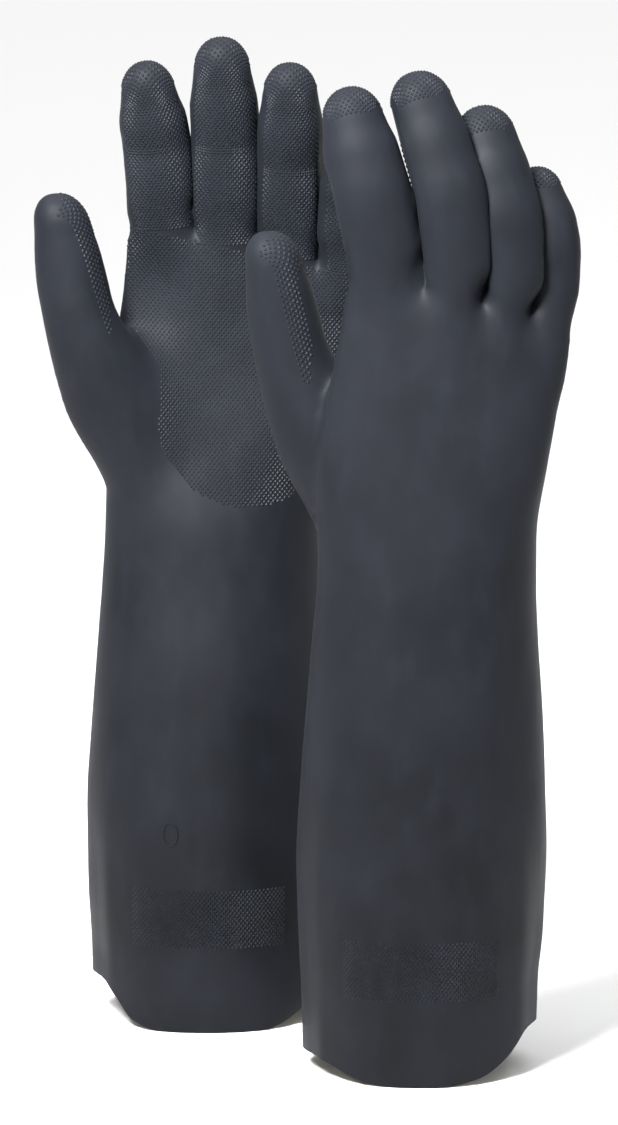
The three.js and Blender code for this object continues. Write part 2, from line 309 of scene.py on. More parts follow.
def dipped_rubber(name, highlight_and_polish):
    """Dipped neoprene rubber, chlorinated: a dark blue-grey skin whose satin
    face spreads the light widely, with faint cloudy bloom, fine handling marks and dipping haze.
    It also carries painted light: paler towards the top, where the light from above falls.
    On the studs it is paler all over, a painted highlight, and a little more polished."""
    material, tree = new_material(name)
    place = add_node(tree, "ShaderNodeAttribute", {"attribute_name": "rest_place"}).outputs["Vector"]
    cloud = pattern(tree, place, 46, 4.0, 0.55)
    stretched = add_node(tree, "ShaderNodeMapping", {"Scale": (1.0, 1.0, 0.45)}, {"Vector": place})
    streak = pattern(tree, stretched.outputs["Vector"], 9, 5.0, 0.6)
    grain = pattern(tree, place, 0.9, 2.0, 0.5)
    body = two_tone(tree, cloud, (0.34, "#0f1114"), (0.68, "#191b21"))
    bloom = ranged(tree, streak, (0.48, 0.74), (0.0, 0.3))
    height = add_node(tree, "ShaderNodeSeparateXYZ", None, {"Vector": place}).outputs["Z"]
    # painted light: the colour grows paler with height, so the hand shows lit more than the cuff by the
    # light from above; on the studs the whole ramp is paler still, a painted highlight
    painted_light = ranged(tree, height, (0.04, 0.33), (highlight_and_polish, 0.45 + highlight_and_polish))
    bloom_and_painted_light = add_node(tree, "ShaderNodeMath", {"operation": "ADD"}, {0: bloom, 1: painted_light})
    # the body colour mixed towards a paler blue-grey by the random bloom and by the painted light
    colour_with_bloom_and_painted_light = add_node(
        tree, "ShaderNodeMix", {"data_type": "RGBA", "blend_type": "MIX"},
        {"Factor": bloom_and_painted_light.outputs["Value"]},
    )
    tree.links.new(body, colour_with_bloom_and_painted_light.inputs[6])
    colour_with_bloom_and_painted_light.inputs[7].default_value = linear("#22252c")
    gloss = ranged(tree, cloud, (0.3, 0.75), (0.5 - highlight_and_polish * 0.4, 0.64 - highlight_and_polish * 0.4))
    heights = add_node(
        tree, "ShaderNodeMath", {"operation": "MULTIPLY_ADD", 1: 0.35}, {0: grain, 2: streak},
    )
    bump = add_node(
        tree, "ShaderNodeBump", {"Strength": 0.16, "Distance": 0.00035},
        {"Height": heights.outputs["Value"]},
    )
    shader = add_node(
        tree, "ShaderNodeBsdfPrincipled",
        {"IOR": 1.52, "Specular IOR Level": 0.13, "Sheen Weight": 0.03, "Sheen Roughness": 0.45,
         "Sheen Tint": linear("#9aa0ad")},
        {"Base Color": colour_with_bloom_and_painted_light.outputs[2], "Roughness": gloss, "Normal": bump.outputs["Normal"]},
    )
    add_node(tree, "ShaderNodeOutputMaterial", None, {"Surface": shader.outputs["BSDF"]})
    return material


def cotton_flock():
    """Short undyed cotton flock blown onto the wet rubber: a soft, fully matt cream nap."""
    material, tree = new_material("cotton flock")
    place = add_node(tree, "ShaderNodeAttribute", {"attribute_name": "rest_place"}).outputs["Vector"]
    nap = pattern(tree, place, 1.1, 4.0, 0.7)
    colour = two_tone(tree, nap, (0.3, "#b9b09b"), (0.7, "#ded7c6"))
    bump = add_node(tree, "ShaderNodeBump", {"Strength": 0.6, "Distance": 0.0004}, {"Height": nap})
    shader = add_node(
        tree, "ShaderNodeBsdfPrincipled",
        {"Roughness": 0.95, "IOR": 1.45, "Sheen Weight": 0.4, "Sheen Roughness": 0.6},
        {"Base Color": colour, "Normal": bump.outputs["Normal"]},
    )
    add_node(tree, "ShaderNodeOutputMaterial", None, {"Surface": shader.outputs["BSDF"]})
    return material


RUBBER = dipped_rubber("dipped neoprene rubber", 0.0)
# the studs' rubber: paler all over, a painted highlight, and a little less rough
STUD_RUBBER_WITH_PAINTED_HIGHLIGHT = dipped_rubber("rubbed neoprene studs", 0.18)
FLOCK = cotton_flock()


# ---------------------------------------------------------------- where the frame puts each glove

JOINTS = {j["name"]: j for j in frame["record"]["behaviour"]["joints"]}
MOUNTS = {m["name"]: m for m in frame["record"]["mounts"]}


class Place:
    """Where one glove stands, read from the frame, and the way from its own frame to the row's."""

    def __init__(self, hand):
        self.hand = hand
        self.side = -1.0 if hand == "left" else 1.0
        hem = np.array(MOUNTS[f"{hand}_hem"]["pos_m"]) / MM
        self.base = np.array([hem[0] - HEM_HALF_WIDTH + CAD_WALL / 2, hem[1], 0.0])
        self.flip = np.array([1.0, self.side, 1.0])

    def to_row(self, points):
        """Points in the glove's own millimetres as points of the row, in metres."""
        return (np.asarray(points) * self.flip + self.base) * MM

    def from_row(self, points):
        return (np.asarray(points) / MM - self.base) * self.flip

    def hinge(self, name):
        return self.from_row(JOINTS[f"{self.hand}_{name}"]["pos_m"])

    def node_box(self, name):
        low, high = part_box(f"{self.hand}_{name}_shell")
        return self.from_row(np.array([tuple(low), tuple(high)]))


class Digit:
    """One finger or the thumb: root, middle and end of its middle line, and its directions."""

    def __init__(self, place, name, palm_direction):
        root_hinge, middle_hinge = place.hinge(f"{name}_bend"), place.hinge(f"{name}_tip_bend")
        self.lower = unit(middle_hinge - root_hinge)
        across = unit(np.cross(self.lower, palm_direction))
        self.front = unit(np.cross(across, self.lower))
        box = place.node_box(f"{name}_base")
        depth = abs(box[1][1] - box[0][1])
        back = depth / 2 * np.linalg.norm(self.front) + HINGE_CLEARANCE
        self.root = root_hinge - self.front * back
        self.middle = middle_hinge - self.front * back
        self.lower = unit(self.middle - self.root)
        self.lower_length = np.linalg.norm(self.middle - self.root)
        self.top = place.node_box(f"{name}_tip")[1][2]


# ---------------------------------------------------------------- the skin before it is posed

def oval(across, palmar, squareness, sides):
    """Unit oval as (across, palmar) factors, with its own squareness."""
    angle = np.arange(sides) * 2 * math.pi / sides
    power = 2 / squareness
    c, s = np.cos(angle), np.sin(angle)
    return across * np.sign(c) * np.abs(c) ** power, palmar * np.sign(s) * np.abs(s) ** power


def lofted(rings, sides):
    """Closed faces through a stack of rings, with a point at each end."""
    points = np.concatenate([*rings, [rings[0].mean(axis=0)], [rings[-1].mean(axis=0)]])
    faces = []
    for r in range(len(rings) - 1):
        for i in range(sides):
            j = (i + 1) % sides
            faces.append((r * sides + i, r * sides + j, (r + 1) * sides + j, (r + 1) * sides + i))
    low, high, last = len(points) - 2, len(points) - 1, (len(rings) - 1) * sides
    for i in range(sides):
        j = (i + 1) % sides
        faces.append((low, j, i))
        faces.append((high, last + i, last + j))
    return points, faces


def trunk_rings():
    """Rings of the sleeve and palm, a few millimetres apart."""
    sides = 72
    rows = np.array(TRUNK)
    top = [rows[-2, 0], rows[-1, 0], TRUNK_TOP]
    heights = np.concatenate([np.arange(rows[0, 0], rows[-2, 0], 4.0), top])
    rings = []
    for z in heights:
        inside = min(z, rows[-1, 0])
        left, right, palm, back = (flowing(rows[:, 0], rows[:, k], inside) for k in (1, 2, 3, 4))
        close = 0.55 if z > rows[-1, 0] else 1.0
        middle = (left + right) / 2
        squareness = 2.05 + 0.45 * smooth(z, 170, 280)
        u, p = oval((right - left) / 2 * (0.98 if close < 1 else 1.0), 1.0, squareness, sides)
        centre = palm - (palm - back) / 2
        half = (palm - back) / 2 * close
        tilt = KNUCKLE_FALL * smooth(z, KNUCKLE_START, TRUNK_TOP - 8)
        across = u + middle
        up = z - tilt * (across - KNUCKLE_MIDDLE)
        rings.append(np.column_stack([across, centre + half * p, up]))
    return lofted(rings, sides)


def digit_profile(length, width):
    """Distances along a digit and the half-width at each, from inside the palm to its end."""
    reach = END_REACH_SHARE * width * END_SHARE
    straight = length - reach
    along = [-20.0, -6.0, 0.0, 0.2 * length, 0.4 * length, 0.52 * length, 0.7 * length, straight]
    share = [0.86, 0.9, 0.915, 0.965, 1.0, 1.0, 0.97, END_SHARE]
    stations = np.concatenate([np.arange(-20.0, straight, 3.0), [straight]])
    halves = [flowing(along, share, s) * width / 2 for s in stations]
    for angle in np.radians(np.arange(12, 90, 12)):
        stations = np.append(stations, straight + reach * math.sin(angle))
        halves.append(END_SHARE * width / 2 * math.cos(angle) ** 0.92)
    return stations, halves


def digit_rings(root, along, length, width):
    """Rings of a straight finger from inside the palm to its rounded end."""
    sides = 40
    front = np.array([0, 1.0, 0])
    across = unit(np.cross(front, along))
    stations, halves = digit_profile(length, width)
    rings = []
    for s, half in zip(stations, halves):
        u, p = oval(half, half * DEPTH_SHARE, 2.15, sides)
        centre = root + along * s
        rings.append(centre + np.outer(u, across) + np.outer(p, front))
    return lofted(rings, sides)


def thumb_rings():
    """Level rings of the thumb and of the heel that it grows out of, with its rounded end."""
    sides = 44
    rows = np.array(THUMB)
    read = lambda z: (flowing(rows[:, 0], rows[:, k], z) for k in (1, 2, 3, 4))
    end = rows[-1, 0]
    levels = [(z, 1.0) for z in np.append(np.arange(rows[0, 0], end, 3.0), end)]
    for a in np.radians(range(12, 90, 12)):
        levels.append((end + (THUMB_TOP - end) * math.sin(a), math.cos(a) ** 0.9))
    rings = []
    for z, share in levels:
        outer, inner, palmar, half_depth = read(min(z, end))
        drift = (z - min(z, end)) * THUMB_END_DRIFT
        squareness = 1.6 + 0.52 * smooth(z, 250, 285)
        u, p = oval((inner - outer) / 2 * share, half_depth * share, squareness, sides)
        rings.append(np.column_stack([u + (inner + outer) / 2 + drift, p + palmar, np.full(sides, z)]))
    return lofted(rings, sides)


def neighbours_mean(points, edges, counts):
    total = np.zeros_like(points)
    for k in range(3):
        for a, b in ((0, 1), (1, 0)):
            total[:, k] += np.bincount(edges[:, a], points[edges[:, b], k], len(points))
    return total / counts[:, None]


def relaxed(points, edges, rounds, share=1.0):
    """Points evened out against their neighbours without the whole shape shrinking."""
    counts = np.bincount(edges.ravel(), minlength=len(points)).astype(float)
    share = np.asarray(share, float).reshape(-1, 1) if np.ndim(share) else share
    for _ in range(rounds):
        points = points + (neighbours_mean(points, edges, counts) - points) * 0.55 * share
        points = points + (neighbours_mean(points, edges, counts) - points) * -0.565 * share
    return points


def filled(points, edges, rounds, share):
    """Points drawn towards their neighbours, which fills creases and rounds off ridges."""
    counts = np.bincount(edges.ravel(), minlength=len(points)).astype(float)
    share = share[:, None] * 0.6
    for _ in range(rounds):
        points = points + (neighbours_mean(points, edges, counts) - points) * share
    return points


def arrays_of(mesh):
    points = np.empty(len(mesh.vertices) * 3)
    mesh.vertices.foreach_get("co", points)
    edges = np.empty(len(mesh.edges) * 2, int)
    mesh.edges.foreach_get("vertices", edges)
    return points.reshape(-1, 3), edges.reshape(-1, 2), [tuple(f.vertices) for f in mesh.polygons]


def joined_skin(digits):
    """One even skin over the sleeve, the palm and all the digits, spread so that none touch."""
    solids = [trunk_rings()]
    for name, (width, spread) in FINGERS.items():
        digit = digits[name]
        solids.append(digit_rings(digit.root, lean(spread, 0), digit.length, width))
    solids.append(thumb_rings())
    points, faces = [], []
    for p, f in solids:
        faces += [tuple(i + len(points) for i in face) for face in f]
        points += list(p)
    source = make_object("joined", make_mesh("joined", np.array(points), faces))
    remesh = source.modifiers.new("even", "REMESH")
    remesh.mode = "VOXEL"
    remesh.voxel_size = SKIN_GRID
    remesh.adaptivity = 0.0
    graph = bpy.context.evaluated_depsgraph_get()
    even = bpy.data.meshes.new_from_object(source.evaluated_get(graph))
    bpy.data.objects.remove(source)
    skin_points, edges, skin_faces = arrays_of(even)
    bpy.data.meshes.remove(even)
    return skin_points, edges, skin_faces


def trimmed(points, faces, level):
    """The skin above a level, with its lowest loop of points exactly on it."""
    centres = np.array([points[list(f)].mean(axis=0)[2] for f in faces])
    kept = [f for f, z in zip(faces, centres) if z > level]
    used = sorted({i for f in kept for i in f})
    renumber = {old: new for new, old in enumerate(used)}
    kept = [tuple(renumber[i] for i in f) for f in kept]
    points = points[used]
    for i in boundary(kept):
        points[i, 2] = level
    return points, kept


def boundary(faces):
    """Points of the open edges of a set of faces."""
    seen = {}
    for f in faces:
        for a, b in zip(f, f[1:] + f[:1]):
            key = (min(a, b), max(a, b))
            seen[key] = seen.get(key, 0) + 1
    return sorted({i for key, count in seen.items() if count == 1 for i in key})


def edges_of(faces):
    pairs = {tuple(sorted((a, b))) for f in faces for a, b in zip(f, f[1:] + f[:1])}
    return np.array(sorted(pairs))


def normals_of(points, faces):
    """Area-weighted normals of the points."""
    normals = np.zeros_like(points)
    quads = np.array([f if len(f) == 4 else (*f, f[-1]) for f in faces])
    across = np.cross(points[quads[:, 2]] - points[quads[:, 0]], points[quads[:, 3]] - points[quads[:, 1]])
    for k in range(4):
        for c in range(3):
            normals[:, c] += np.bincount(quads[:, k], across[:, c], len(points))
    length = np.linalg.norm(normals, axis=1, keepdims=True)
    return normals / np.maximum(length, 1e-12)


# ---------------------------------------------------------------- posing and modelling the skin

def finger_of_each(points, digits):
    """For every point above the crotches, the finger whose spread middle line is nearest."""
    names = list(FINGERS)
    best = np.full(len(points), -1)
    least = np.full(len(points), 1e9)
    for k, name in enumerate(names):
        digit = digits[name]
        along = lean(FINGERS[name][1], 0)
        r = points - digit.root
        s = r @ along
        off = np.linalg.norm(r - np.outer(s, along), axis=1)
        near = (off < least) & (s > -14) & (off < 22)
        best[near], least[near] = k, off[near]
    on_thumb = (points[:, 0] < -38.5) & (points[:, 2] > 262) & (points[:, 2] < 350)
    best[on_thumb] = -1
    return best


def set_pose(digits, hand):
    """Gives each finger its place and directions at rest in this glove."""
    for name in FINGERS:
        digit = digits[name]
        across, palmar, lower, upper, digit.longer = FINGER_POSE[hand][name]
        pitch = math.degrees(math.asin(digit.lower[1]))
        digit.bind = lean(FINGERS[name][1], 0)
        digit.shift = np.array([across, palmar, 0.0])
        digit.foot = digit.root + digit.shift
        digit.rise = lean(lower, pitch)
        digit.bend = digit.foot + digit.rise * digit.lower_length
        digit.reach = lean(upper, pitch + CURL_AT_REST)
        digit.run = digit.length - digit.lower_length + digit.longer


def turn_between(points, pivot, before, after, share):
    axis = np.cross(before, after)
    size = np.linalg.norm(axis)
    if size < 1e-6:
        return points
    return turned(points, pivot, axis, math.asin(min(1.0, size)) * share)


def posed(points, digits, owner, hand):
    """The spread fingers brought to where they stand at rest, and the palm that follows them."""
    result = points.copy()
    names = list(FINGERS)
    spots = [-60.0, *(digits[n].root[0] for n in names), 90.0]
    shifts = np.array([digits[n].shift for n in (names[0], *names, names[-1])])
    shifts[0, :] = 0.0
    follow = np.column_stack([np.interp(points[:, 0], spots, shifts[:, axis]) for axis in range(3)])
    share = smooth(points[:, 2] + KNUCKLE_FALL * (points[:, 0] - KNUCKLE_MIDDLE), 235, 312)
    share *= smooth(points[:, 0], -44, -26)
    result += np.where(owner < 0, share, 0.0)[:, None] * follow
    for k, name in enumerate(names):
        digit = digits[name]
        mine = np.where(owner == k)[0]
        s = (points[mine] - digit.root) @ digit.bind
        longer = digit.longer * smooth(s, 6, digit.length - 14)
        moved = points[mine] + np.outer(longer, digit.bind)
        off = points[mine] - digit.root - np.outer(s, digit.bind)
        broad = FINGER_FULLNESS[hand] * smooth(s, -6, 16) + 0.05 * bell(s, 4, 9)
        deep = FINGER_FULLNESS[hand] * smooth(s, 6, 34)
        inward = off[:, 0] * ((off[:, 0] > 0) if k == 0 else (off[:, 0] < 0) if k == 3 else 1.0)
        moved = moved + off * np.column_stack([broad, deep, broad])
        moved[:, 0] += inward * NEIGHBOUR_FULLNESS[hand] * smooth(s, -1, 9) * (1 - smooth(s, 14, 50))
        blend = smooth(s, -3, 10)[:, None]
        moved = moved + follow[mine] * share[mine][:, None] * (1 - blend) + digit.shift * blend
        moved = turn_between(moved, digit.foot, digit.bind, digit.rise, smooth(s, -2, 14))
        bend = digit.lower_length
        moved = turn_between(moved, digit.bend, digit.rise, digit.reach, smooth(s, bend - 11, bend + 11))
        result[mine] = moved
    return result


def middle_line(digit, z):
    """Points of a finger's middle line at given heights."""
    low = digit.foot + np.outer((z - digit.foot[2]) / digit.rise[2], digit.rise)
    high = digit.bend + np.outer((z - digit.bend[2]) / digit.reach[2], digit.reach)
    return np.where((z < digit.bend[2])[:, None], low, high)


def pressed(points, rest, digits, owner, hand):
    """Fingers that lie against each other flattened where they touch."""
    result = points.copy()
    names = list(FINGERS)
    for k, name in enumerate(names):
        mine = np.where(owner == k)[0]
        digit = digits[name]
        s = (rest[mine] - digit.root) @ digit.bind
        for other_k in (k - 1, k + 1):
            if not 0 <= other_k < len(names):
                continue
            other = digits[names[other_k]]
            z = result[mine, 2]
            here, there = middle_line(digit, z), middle_line(other, z)
            span = there - here
            distance = np.linalg.norm(span, axis=1)
            towards = span / distance[:, None]
            first = FRONT_SHARE[hand] if other_k > k else 1 - FRONT_SHARE[hand]
            limit = distance * first - TOUCH_GAP / 2
            reach = np.einsum("ij,ij->i", result[mine] - here, towards)
            over = np.maximum(reach - limit, 0) * smooth(s, 0.0, 4.0)
            over *= z < other.top + 2
            result[mine] -= towards * over[:, None]
    return result


def wander(points, size, seed):
    """Slow, even noise at each point, for features of a size in millimetres."""
    shift = Vector((seed * 13.7, seed * 7.3, seed * 3.1))
    return np.array([noise.noise(Vector(p) / size + shift) for p in points])


def hand_marks(rest, normals, digits, owner, hand):
    """Soft swells, creases and folds that a former-dipped glove keeps, as moves along the normals."""
    up, across = rest[:, 2], rest[:, 0]
    palmar = normals[:, 1]
    seed = 1.0 if hand == "left" else 2.0
    move = 0.4 * wander(rest, 34.0, seed) + 0.07 * wander(rest, 12.0, seed + 3)
    sleeve = 1 - smooth(up, 175, 240)
    upright = rest * np.array([1.0, 1.0, 0.25])
    move += sleeve * 0.9 * wander(upright, 26.0, seed + 6)
    for k, name in enumerate(FINGERS):
        digit = digits[name]
        mine = owner == k
        s = (rest - digit.root) @ lean(FINGERS[name][1], 0)
        front = smooth(palmar, 0.1, 0.8)
        back = smooth(-palmar, 0.1, 0.8)
        middle = digit.lower_length
        move += mine * front * (-0.3 * bell(s, middle, 5.0) + 0.25 * bell(s, middle * 0.5, 9))
        move += mine * back * (0.3 * bell(s, middle, 8.0))
    knuckles = smooth(-palmar, 0.2, 0.9) * bell(up, 306 - KNUCKLE_FALL * (across - KNUCKLE_MIDDLE), 11)
    for name in FINGERS:
        move += knuckles * 0.8 * bell(across, digits[name].root[0], 8.0)
    hollow = smooth(palmar, 0.3, 0.9) * bell(up, 268, 26) * bell(across, 14, 22)
    move -= 1.6 * hollow
    root_hollow = smooth(palmar, 0.1, 0.8) * bell(up, 300, 20) * bell(across, -25, 13)
    move -= 3.5 * root_hollow
    return move


def sleeve_marks(rest):
    """The sleeve's soft pressed edges: a shallow ridge beside each side, fading upwards."""
    angle = np.degrees(np.arctan2(rest[:, 1], rest[:, 0]))
    side_of = np.abs(np.abs(angle) - np.where(np.abs(angle) > 90, 180, 0))
    low = 1 - smooth(rest[:, 2], 55, 120)
    ridge = 1.1 * bell(side_of, 0, 7.0) - 0.4 * bell(side_of, 17, 7.0) + 0.3 * bell(side_of, 30, 5.0)
    return low * ridge


def hem_wave(points, rest, hand):
    """The cut hem hangs lowest at front and back and rises towards the two pressed side edges."""
    table = np.array(HEM_RISE[hand], float)
    side = (rest[:, 0] / HEM_HALF_WIDTH).clip(-1, 1)
    rise = np.array([flowing(table[:, 0], table[:, 1], x) for x in side]).clip(0, None)
    lifted = points.copy()
    lifted[:, 2] += rise * (1 - smooth(rest[:, 2], 0, HEM_RISE_REACH))
    return lifted


# ---------------------------------------------------------------- cutting the skin into pieces

def piece_of_each(points, owner, digits):
    """Names the piece that each point of the skin belongs to, by where it lies before posing."""
    names = np.full(len(points), "hand", dtype=object)
    names[points[:, 2] < HAND_GAUNTLET_SPLIT] = "gauntlet"
    for k, name in enumerate(FINGERS):
        digit = digits[name]
        s = (points - digit.root) @ lean(FINGERS[name][1], 0)
        mine = owner == k
        names[mine & (s > PIECE_FOOT)] = f"{name}_base"
        names[mine & (s > digit.lower_length * FINGER_TIP_BORDER)] = f"{name}_tip"
    thumb = digits["thumb"]
    s = (points - thumb.root) @ thumb.lower
    mine = (owner < 0) & (points[:, 0] < THUMB_SIDE) & (points[:, 2] > THUMB_FOOT)
    names[mine & (s > PIECE_FOOT)] = "thumb_base"
    names[mine & (s > thumb.lower_length * THUMB_TIP_BORDER)] = "thumb_tip"
    return names


def wall(points, normals, faces, outside, inside):
    """A closed wall between two depths under a part of the skin, with the normals of each corner."""
    used = sorted({i for f in faces for i in f})
    place = {old: new for new, old in enumerate(used)}
    count = len(used)
    outer = points[used] - normals[used] * outside
    inner = points[used] - normals[used] * inside
    made = [tuple(place[i] for i in f) for f in faces]
    made += [tuple(place[i] + count for i in reversed(f)) for f in faces]
    edge_count = {}
    for f in faces:
        for a, b in zip(f, f[1:] + f[:1]):
            edge_count[(a, b)] = edge_count.get((a, b), 0) + 1
    open_edges = [(a, b) for (a, b) in edge_count if (b, a) not in edge_count]
    for a, b in open_edges:
        made.append((place[b], place[a], place[a] + count, place[b] + count))
    corner_normals = np.concatenate([normals[used], -normals[used]])
    rim = len(faces) * 2
    return np.concatenate([outer, inner]), made, corner_normals, rim, np.array(used)


def wall_piece(name, place, skin, faces, depths, material):
    """One piece of a glove's rubber or lining as an object, shaded as one skin with its neighbours."""
    points, normals, rest = skin
    made_points, made_faces, corner_normals, rim, used = wall(points, normals, faces, *depths)
    row_normals = corner_normals * place.flip
    if place.side < 0:
        made_faces = [tuple(reversed(f)) for f in made_faces]
    piece = make_object(name, make_mesh(name, place.to_row(made_points), made_faces))
    mesh = piece.data
    mesh.materials.append(material)
    mesh.shade_smooth()
    store_place(mesh, np.concatenate([rest[used], rest[used]]) * MM)
    corner_points = np.empty(len(mesh.loops), int)
    mesh.loops.foreach_get("vertex_index", corner_points)
    loops = row_normals[corner_points]
    for face in mesh.polygons[rim:]:
        for corner in face.loop_indices:
            loops[corner] = tuple(face.normal)
    mesh.normals_split_custom_set([tuple(n) for n in loops])
    return piece


def store_place(mesh, rest):
    """Keeps where each point lay before posing, so that patterns stay on the surface."""
    attribute = mesh.attributes.new("rest_place", "FLOAT_VECTOR", "POINT")
    attribute.data.foreach_set("vector", np.asarray(rest, np.float32).ravel())


# ---------------------------------------------------------------- the embossed grip

def strip_rays(start, along, front, length, radius, wrap, half_angle, lead=0.0):
    """Rays of a grip strip that runs up a digit and over its end: origin, direction, way up."""
    across = unit(np.cross(front, along))
    rays = []
    row = 0
    s = lead
    total = length + radius * math.radians(wrap)
    while s < total:
        turn = max(0.0, s - length) / radius
        origin = start + along * min(s, length)
        outward = front * math.cos(turn) + along * math.sin(turn)
        way_up = along * math.cos(turn) - front * math.sin(turn)
        narrow = 1.0 - 0.35 * float(smooth(turn, 1.2, 2.9))
        steps = int(math.radians(half_angle) * narrow * radius / GRIP_WIDTH)
        for k in range(-steps, steps + 1):
            angle = (k + 0.5 * (row % 2)) * GRIP_WIDTH / radius
            rays.append((origin, outward * math.cos(angle) + across * math.sin(angle), way_up))
        s += GRIP_LENGTH / 2
        row += 1
    return rays


def flat_rays(inside, low, high):
    """Rays of a grip field on the palm, aimed from in front of it."""
    rays = []
    row = 0
    up = low[1]
    while up < high[1]:
        across = low[0] + (GRIP_WIDTH / 2 if row % 2 else 0)
        while across < high[0]:
            if inside(across, up):
                rays.append((np.array([across, 90.0, up]), np.array([0, -1.0, 0]), np.array([0, 0, 1.0])))
            across += GRIP_WIDTH
        up += GRIP_LENGTH / 2
        row += 1
    return rays


def band_rays(low, high, half_width, facing):
    """Rays of the grip band low on the sleeve, on the palm side or the back."""
    rays = []
    row = 0
    up = low
    while up < high:
        steps = int(half_width / GRIP_WIDTH)
        for k in range(-steps, steps + 1):
            angle = (k + 0.5 * (row % 2)) * GRIP_WIDTH / CUFF_RADIUS
            outward = np.array([math.sin(angle), facing * math.cos(angle), 0.0])
            rays.append((np.array([0.0, 0.0, up]), outward, np.array([0, 0, 1.0])))
        up += GRIP_LENGTH / 2
        row += 1
    return rays


def palm_field():
    """Tells whether a place on the palm carries the grip: a field with a round foot below the fingers."""

    def inside(across, up):
        top = 315.0 - KNUCKLE_FALL * (across - KNUCKLE_MIDDLE)
        if up > top:
            return False
        if up > 286:
            return -33.0 < across < 60.0
        thumb_side = -19.0 - 14.0 * float(smooth(up, 268, 290))
        if up > 250:
            return thumb_side < across < 56.0
        reach = (across - 18.0) / 38.0
        return abs(reach) < 1 and up > 250 - 35.0 * math.sqrt(1 - reach * reach)

    return inside


def shoot(rays, tree, reach, facing=1.0):
    """Where rays first meet the skin: points, normals, ways up and face numbers."""
    hits = []
    for origin, direction, way_up in rays:
        point, normal, face, _ = tree.ray_cast(Vector(origin), Vector(direction), reach)
        if point is not None and normal.dot(Vector(direction)) * facing > CAST_ANGLE:
            hits.append((np.array(point), np.array(normal), way_up, face))
    return hits


def stud_tree():
    """Geometry Nodes that set one small rhomb stud on every point and make the result real."""
    tree = bpy.data.node_groups.new("grip studs", "GeometryNodeTree")
    tree.interface.new_socket("Geometry", in_out="INPUT", socket_type="NodeSocketGeometry")
    for name in ("Stud width", "Stud length", "Stud height", "Sink"):
        tree.interface.new_socket(name, in_out="INPUT", socket_type="NodeSocketFloat")
    tree.interface.new_socket("Finish", in_out="INPUT", socket_type="NodeSocketMaterial")
    tree.interface.new_socket("Geometry", in_out="OUTPUT", socket_type="NodeSocketGeometry")
    given = add_node(tree, "NodeGroupInput")
    outward, way_up = (
        add_node(tree, "GeometryNodeInputNamedAttribute", {"data_type": "FLOAT_VECTOR", "Name": name})
        for name in ("outward", "way_up")
    )
    stud = add_node(
        tree, "GeometryNodeMeshCone",
        {"fill_type": "NGON", "Vertices": 4, "Radius Top": 0.1, "Radius Bottom": 0.5, "Depth": 1.0},
    )
    size = add_node(
        tree, "ShaderNodeCombineXYZ", None,
        {
            "X": given.outputs["Stud width"],
            "Y": given.outputs["Stud length"],
            "Z": given.outputs["Stud height"],
        },
    )
    sink = given.outputs["Sink"]
    drop = add_node(tree, "ShaderNodeMath", {"operation": "MULTIPLY", 1: -1.0}, {0: sink})
    drop_vector = add_node(tree, "ShaderNodeCombineXYZ", None, {"Z": drop.outputs["Value"]})
    shaped = add_node(
        tree, "GeometryNodeTransform", None,
        {
            "Geometry": stud.outputs["Mesh"],
            "Scale": size.outputs["Vector"],
            "Translation": drop_vector.outputs["Vector"],
        },
    )
    facing = add_node(
        tree, "FunctionNodeAlignRotationToVector", {"axis": "Z"}, {"Vector": outward.outputs["Attribute"]},
    )
    upright = add_node(
        tree, "FunctionNodeAlignRotationToVector", {"axis": "Y", "pivot_axis": "Z"},
        {"Rotation": facing.outputs["Rotation"], "Vector": way_up.outputs["Attribute"]},
    )
    studs = add_node(
        tree, "GeometryNodeInstanceOnPoints", None,
        {
            "Points": given.outputs["Geometry"],
            "Instance": shaped.outputs["Geometry"],
            "Rotation": upright.outputs["Rotation"],
        },
    )
    real = add_node(tree, "GeometryNodeRealizeInstances", None, {"Geometry": studs.outputs["Instances"]})
    finished = add_node(
        tree, "GeometryNodeSetMaterial", None,
        {"Geometry": real.outputs["Geometry"], "Material": given.outputs["Finish"]},
    )
    add_node(tree, "NodeGroupOutput", None, {"Geometry": finished.outputs["Geometry"]})
    return tree


STUD_TREE = stud_tree()


def stud_piece(name, place, hits, rest_hits):
    """The studs of one piece of a glove, as a plain mesh."""
    seeds = make_object(name, make_mesh(name, place.to_row([h[0] for h in hits]), []))
    for label, values in (("outward", [h[1] for h in hits]), ("way_up", [h[2] for h in hits])):
        attribute = seeds.data.attributes.new(label, "FLOAT_VECTOR", "POINT")
        attribute.data.foreach_set("vector", (np.array(values) * place.flip).astype(np.float32).ravel())
    store_place(seeds.data, np.array(rest_hits) * MM)
    modifier = seeds.modifiers.new("grip studs", "NODES")
    modifier.node_group = STUD_TREE
    sockets = {i.name: i.identifier for i in STUD_TREE.interface.items_tree if i.in_out == "INPUT"}
    sizes = {
        "Stud width": GRIP_WIDTH * MM * STUD_SHARE,
        "Stud length": GRIP_LENGTH * MM * STUD_SHARE,
        "Stud height": (GRIP_HEIGHT + GRIP_SINK) * MM,
        "Sink": GRIP_SINK * MM,
        # the studs' finish is paler, a painted highlight
        "Finish": STUD_RUBBER_WITH_PAINTED_HIGHLIGHT,
    }
    for label, value in sizes.items():
        modifier[sockets[label]] = value
    graph = bpy.context.evaluated_depsgraph_get()
    mesh = bpy.data.meshes.new_from_object(seeds.evaluated_get(graph))
    bpy.data.objects.remove(seeds)
    mesh.name = name
    mesh.shade_flat()
    piece = make_object(name, mesh)
    return piece
